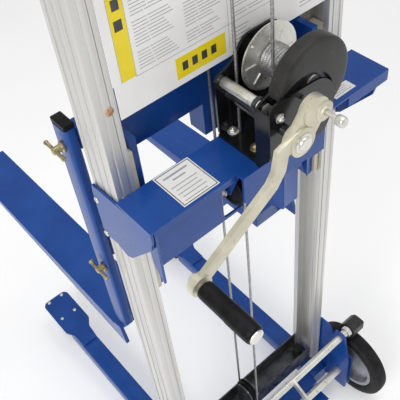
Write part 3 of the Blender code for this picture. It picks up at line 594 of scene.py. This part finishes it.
def build_crank():
    refined("crank_shaft", 0.4)
    refined("crank_arm", 1.4)
    low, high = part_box("crank_arm")
    face = low.y + 0.002
    hub = Vector((CRANK.x, face, CRANK.z))
    cap = revolved(hub, (0, -1, 0), solid_profile(
        [(14.5, -0.5), (14.5, 1.2), (13.6, 2.0), (11.0, 2.2), (10.6, 4.0), (9.2, 5.4), (4.0, 5.9)]), 64)
    piece("crank_cap", cap, "crank", FINISH["bright_zinc"])
    knob_low, knob_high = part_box("lock_knob")
    knob = Vector(((knob_low.x + knob_high.x) / 2, 0, (knob_low.z + knob_high.z) / 2))
    boss = Vector((knob.x, face + 0.002, knob.z))
    ring = [(4.4, -1.0), (15.0, -1.0), (15.0, 1.4), (13.8, 2.4), (10.2, 2.6), (9.4, 4.2), (4.4, 4.2)]
    piece("knob_boss", revolved(boss, (0, -1, 0), ring, 64), "crank", FINISH["nickel_casting"])
    length = (knob_high.y - knob_low.y) / MM
    profile = solid_profile([
        (3.9, 0.0), (3.9, length - 15.2), (6.0, length - 14.8), (7.4, length - 13.0), (7.9, length - 10.5),
        (7.9, length - 4.5), (7.2, length - 2.0), (5.4, length - 0.5), (2.5, length)])
    piece("turned_lock_knob", revolved((knob.x, knob_high.y, knob.z), (0, -1, 0), profile, 56), "knob",
          FINISH["bright_zinc"], ("lock_knob",))
    low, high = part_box("crank_grip")
    length = (high.y - low.y) / MM
    top = (high.z - low.z) / 2 / MM
    outline = [(0.0, 0.80), (0.012, 0.90), (0.04, 0.945), (0.10, 0.955), (0.30, 0.95), (0.50, 0.955),
               (0.54, 0.965), (0.57, 1.0), (0.62, 1.0), (0.80, 0.985), (0.93, 0.975),
               (0.97, 0.95), (0.99, 0.90), (1.0, 0.82)]
    profile = [(6.4, 0.0), *[(top * r, length * t) for t, r in outline], (6.4, length)]
    piece("moulded_grip", revolved((GRIP.x, high.y, GRIP.z), (0, -1, 0), profile, 80), "grip",
          FINISH["black_plastic"], ("crank_grip",), angle=50)
    low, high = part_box("grip_spindle")
    length = (high.y - low.y) / MM
    profile = solid_profile([
        (8.6, 0.0), (9.4, 0.8), (9.4, 6.4), (8.6, 7.0), (5.95, 7.0), (5.95, length - 3.1),
        (10.4, length - 3.1), (10.8, length - 2.4), (10.4, length - 0.8), (8.0, length - 0.1)])
    piece("turned_spindle", revolved((GRIP.x, high.y, GRIP.z), (0, -1, 0), profile, 64), "crank",
          FINISH["bright_zinc"], ("grip_spindle",))


def build_winch_frame():
    refined("winch_frame", 0.9)
    refined("drum_gear", 0.3)
    refined("ratchet_pawl", 0.4)
    low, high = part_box("tie_rod")
    length = (high.y - low.y) / MM
    x_tie, z_tie = (low.x + high.x) / 2, (low.z + high.z) / 2
    sleeve = solid_profile([
        (5.9, 0.0), (5.9, 7.4), (7.6, 7.4), (8.0, 8.0), (8.0, length - 8.6), (7.6, length - 8.0),
        (5.9, length - 8.0), (5.9, length - 3.2), (5.9, length - 0.6), (5.2, length)])
    rod = revolved((x_tie, high.y, z_tie), (0, -1, 0), sleeve, 48)
    nut = hexagon((x_tie, low.y + 0.0032, z_tie), (0, -1, 0), 15.0, 3.0)
    piece("turned_tie_rod", merged(rod, nut), "base", FINISH["bright_zinc"], ("tie_rod",))
    low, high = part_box("winch_frame")
    floor = low.z + 0.004
    for name, x, y, finish in (("base_bolt_far", -0.024, high.y - 0.011, FINISH["bright_zinc"]),
                               ("base_bolt_near", -0.025, high.y - 0.060, FINISH["yellow_zinc"])):
        bolt(name, (x, y, floor), (0, 0, 1), 10.0, "base", finish)
    for name, x, z, across in (("guard_bolt_high", x_tie, z_tie, 8.0),
                               ("guard_bolt_low", DRUM.x - 0.0096, DRUM.z - 0.0716, 6.0)):
        bolt(name, (x, low.y, z), (0, -1, 0), across, "base", FINISH["bright_zinc"])


# ------------------------------------------------------------ masts, bracket and sign

def build_sign():
    refined("sign_panel", 0.25)
    low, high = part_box("sign_panel")
    front = low.y

    def patch(x0, x1, z0, z1, proud=0.10):
        return slab((x0 * MM, front - proud * MM, z0 * MM), (x1 * MM, front + 0.02 * MM, z1 * MM))

    left, bottom, top = low.x / MM, low.z / MM, high.z / MM
    yellow = [patch(left + 11.5, left + 33.0, bottom + 51, top - 14),
              patch(-98.3, -14.5, bottom + 10.0, bottom + 42.5)]
    piece("sign_bands", merged(*yellow), "base", YELLOW)
    rules = [patch(left + 33.4, 176.0, bottom + 49.6, bottom + 50.4),
             patch(left + 11.5, left + 12.1, bottom + 51, top - 14, 0.14),
             patch(left + 33.0, left + 33.6, bottom + 49.6, top - 14),
             patch(-8.0, -7.4, bottom + 12, top - 14), patch(86.0, 86.6, bottom + 52, top - 14)]
    lines = []
    for column, (x0, x1) in enumerate(((-150.0, -84.0), (-76.0, -14.0), (0.0, 80.0), (92.0, 172.0))):
        height = bottom + 57.0
        row = 0
        while height < top - 22:
            if (row + 2 * column) % 9 != 6:
                end = x1 - (5.0 + (row * 37 + column * 13) % 17)
                for start, stop in zip((x0, x0 + 0.42 * (end - x0)), (x0 + 0.39 * (end - x0), end)):
                    lines.append(patch(start, stop, height, height + 1.1, 0.06))
            height += 4.6
            row += 1
    for row in range(5):
        level = bottom + 14 + row * 6.0
        lines.append(patch(-4.0, 34.0 - (row * 7) % 11, level, level + 1.3, 0.06))
        lines.append(patch(126.0, 172.0 - (row * 5) % 9, level, level + 1.3, 0.06))
    piece("sign_rules", merged(*rules), "base", GREY_INK)
    piece("sign_lines", merged(*lines), "base", GREY_INK)
    marks = [patch(left + 16.5 + (k % 2) * 1.2, left + 28.0,
                   bottom + 120 + 26 * k, bottom + 134 + 26 * k, 0.16)
             for k in range(4)]
    marks += [patch(-88.0 + 16 * k, -79.0 + 16 * k, bottom + 20, bottom + 33, 0.16) for k in range(4)]
    piece("sign_blocks", merged(*marks), "base", DARK_INK)


def build_bracket():
    refined("mast_bracket", 1.1)
    low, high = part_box("mast_bracket")
    top = high.z
    front = low.y + 0.0135

    def sheet(x0, x1, y0, y1, z0, z1):
        return slab((x0 * MM, front + y0 * MM, top + z0 * MM), (x1 * MM, front + y1 * MM, top + z1 * MM))

    piece("plate_label", sheet(-166, -103, 5, 76, -0.02, 0.18), "base", FINISH["white_sheet"],
          bevel=0.05)
    border = [sheet(-164.2, -104.8, 7.0, 8.4, 0.1, 0.22), sheet(-164.2, -104.8, 72.6, 74.0, 0.1, 0.22),
              sheet(-164.2, -162.8, 7.0, 74.0, 0.1, 0.22), sheet(-106.2, -104.8, 7.0, 74.0, 0.1, 0.22)]
    piece("plate_label_border", merged(*border), "base", DARK_INK)
    rows = [sheet(-156, -114, 62, 65.5, 0.1, 0.22), sheet(-146, -124, 53, 56, 0.1, 0.22)]
    rows += [sheet(-158 + (k % 2) * 3, -113 - (k * 5) % 7, 42 - 7.5 * k, 43.6 - 7.5 * k, 0.1, 0.22)
             for k in range(5)]
    piece("plate_label_rows", merged(*rows), "base", GREY_INK)
    piece("small_label", sheet(137, 182, 9, 30, -0.02, 0.18), "base", FINISH["white_sheet"],
          bevel=0.05)
    rows = [sheet(141, 176 - (k * 7) % 9, 13 + 4 * k, 14.1 + 4 * k, 0.1, 0.22) for k in range(4)]
    piece("small_label_rows", merged(*rows), "base", GREY_INK)
    for side, sign in (("left", -1), ("right", 1)):
        face = sign * EAR_FACE_X
        for level, (y, z) in enumerate(((137, -41), (136, -116))):
            spot = (face, front + y * MM, top + z * MM)
            button_screw(f"ear_screw_{side}_{level}", spot, (sign, 0, 0), 5.5, "base",
                         FINISH["bright_zinc"])
    axle = Vector((GUIDE.x - 0.016, GUIDE.y, GUIDE.z))
    bolt("guide_axle_bolt", axle, (-1, 0, 0), 9.0, "base", FINISH["bright_zinc"])


def build_masts():
    for node in ("outer_mast_left", "outer_mast_right", "inner_mast_left", "inner_mast_right"):
        refined(node, 0.35)
    refined("mast_crossbar", 0.8)
    refined("inner_head_bar", 0.8)
    refined("bottom_channel", 0.7)
    low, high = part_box("bottom_channel")
    ribs = [(13.0 - 2.5 * (k % 2), 0.1 + 3.4 * k) for k in range(9)]
    for side, sign in (("left", -1), ("right", 1)):
        stop = (sign * (high.x - 0.016), low.y + 0.042, CHANNEL_FLOOR)
        piece("bumper_" + side, revolved(stop, (0, 0, 1), solid_profile(ribs), 40), "inner_mast",
              FINISH["black_rubber"], angle=50)
    low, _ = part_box("outer_mast_left")
    for side, sign in (("left", -1), ("right", 1)):
        for height in MAST_SCREW_HEIGHTS:
            spot = (sign * MAST_SCREW_X, low.y, height)
            button_screw(f"mast_screw_{side}_{int(height * 1000)}", spot, (0, -1, 0), 6.0, "base", COPPER)


# ------------------------------------------------------------ carriage, forks and base

def build_carriage():
    refined("carriage_frame", 1.0)
    for node in SLOT_OF:
        if node.startswith("slide_pad"):
            refined(node, 1.2)
        elif node.startswith("fork_cap"):
            refined(node, 1.6)
        elif node.startswith(("fork_left", "fork_right")):
            refined(node, 1.4)
    for node in [n for n in SLOT_OF if n.startswith("clamp_")]:
        point, _ = axis_of(node + "_spin")
        low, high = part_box(node)
        sign = 1 if point.x > 0 else -1
        out = Vector((sign, 0, 0))
        reach = (high.x - low.x) / MM
        stem = revolved(point, out, solid_profile([
            (8.8, 0.1), (9.0, 0.6), (9.0, 3.6), (6.6, 4.0), (6.0, 4.6), (6.0, reach - 1.2),
            (4.6, reach)]), 32)
        bar_x = point.x + sign * (reach - 4.0) * MM
        length = (high.y - low.y) / MM
        bar = revolved((bar_x, low.y, point.z), (0, 1, 0), solid_profile([
            (2.4, 0.0), (3.6, 0.8), (3.95, 2.2), (3.6, 3.6), (3.0, 4.6), (3.0, length - 4.6),
            (3.6, length - 3.6), (3.95, length - 2.2), (3.6, length - 0.8), (2.4, length)]), 32)
        piece("turned_" + node, merged(stem, bar), BODY_OF[node], FINISH["yellow_zinc"],
              (node,))


def build_base():
    for side in ("left", "right"):
        refined("leg_" + side, 1.1)
        refined("end_plate_" + side, 0.8)
        low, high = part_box("end_plate_" + side)
        x = (low.x + high.x) / 2 / MM
        for k, (dx, dy) in enumerate(((-21, -8), (21, -8), (-21, -80), (21, -80))):
            spot = ((x + dx) * MM, high.y + dy * MM, high.z)
            button_screw(f"plate_screw_{side}_{k}", spot, (0, 0, 1), 5.0, "base",
                         FINISH["bright_zinc"])
        refined("brake_block_" + side, 1.4)
    refined("rear_deck", 1.0)
    low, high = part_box("rear_axle")
    length = (high.x - low.x) / MM
    y, z = (low.y + high.y) / 2, (low.z + high.z) / 2
    rod = revolved((low.x, y, z), (1, 0, 0), solid_profile([(8.8, 0.0), (9.9, 1.2), (9.9, length - 1.2),
                                                           (8.8, length)]), 56)
    piece("turned_rear_axle", rod, "base", FINISH["bright_zinc"], ("rear_axle",))


def build_brake():
    point, _ = axis_of("brake_swing")
    refined("brake_rod", 1.2)
    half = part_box("brake_rod")[1].x / MM
    sleeve = merged(*[
        revolved((sign * BRAKE_COLLAR_X, point.y, point.z), (sign, 0, 0),
                 [(9.1, 0.0), (13.4, 0.0), (13.4, 10.0), (9.1, 10.0)], 48) for sign in (-1, 1)])
    piece("brake_collars", sleeve, "brake", FINISH["bright_zinc"], bevel=0.6)
    long_rod = revolved((-half * MM + 0.0001, point.y, point.z), (1, 0, 0), solid_profile(
        [(8.2, 0.0), (9.0, 1.0), (9.0, 2 * half - 1.2), (8.2, 2 * half - 0.2)]), 56)
    piece("brake_rod_skin", long_rod, "brake", FINISH["bright_zinc"])


# ------------------------------------------------------------ stage

def build_stage():
    bm = bmesh.new()
    bmesh.ops.create_grid(bm, x_segments=2, y_segments=2, size=30.0)
    mesh = bpy.data.meshes.new("floor")
    bm.to_mesh(mesh)
    bm.free()
    floor_finish = surface("pale_floor", (0.88, 0.88, 0.88), (0.90, 0.90, 0.90), 0.0, (0.6, 0.7), 3.0,
                           grain=(60.0, 0.02))
    glow = floor_finish.node_tree.nodes["Principled BSDF"]
    glow.inputs["Emission Color"].default_value = (1.0, 1.0, 1.0, 1.0)
    glow.inputs["Emission Strength"].default_value = FLOOR_GLOW
    mesh.materials.append(floor_finish)
    floor = bpy.data.objects.new("floor", mesh)
    floor.location.z = -0.0005
    bpy.context.scene.collection.objects.link(floor)

    world = bpy.data.worlds.new("studio")
    world.use_nodes = True
    background = world.node_tree.nodes["Background"]
    background.inputs["Color"].default_value = (1.0, 1.0, 1.0, 1.0)
    background.inputs["Strength"].default_value = WORLD_STRENGTH
    bpy.context.scene.world = world

    target = Vector(LIGHT_TARGET)
    for name, place, size, power in LIGHTS:
        data = bpy.data.lights.new(name, "AREA")
        data.energy = power
        data.size = size
        light = bpy.data.objects.new(name, data)
        light.location = place
        light.rotation_euler = (target - Vector(place)).to_track_quat("-Z", "Y").to_euler()
        bpy.context.scene.collection.objects.link(light)

    camera_data = bpy.data.cameras.new("camera")
    camera_data.sensor_width = 36.0
    camera_data.lens = CAMERA_LENS
    camera_data.shift_x, camera_data.shift_y = CAMERA_SHIFT
    camera_data.clip_start = 0.02
    camera = bpy.data.objects.new("camera", camera_data)
    camera.location = CAMERA_PLACE
    camera.rotation_euler = tuple(math.radians(angle) for angle in CAMERA_DEGREES)
    bpy.context.scene.collection.objects.link(camera)
    bpy.context.scene.camera = camera
    bpy.context.scene.view_settings.view_transform = "Standard"


build_ropes()
build_windings()
build_sheaves()
build_rear_wheels()
build_casters()
build_drum()
build_gear_cover()
build_crank()
build_winch_frame()
build_sign()
build_bracket()
build_masts()
build_carriage()
build_base()
build_brake()
build_stage()
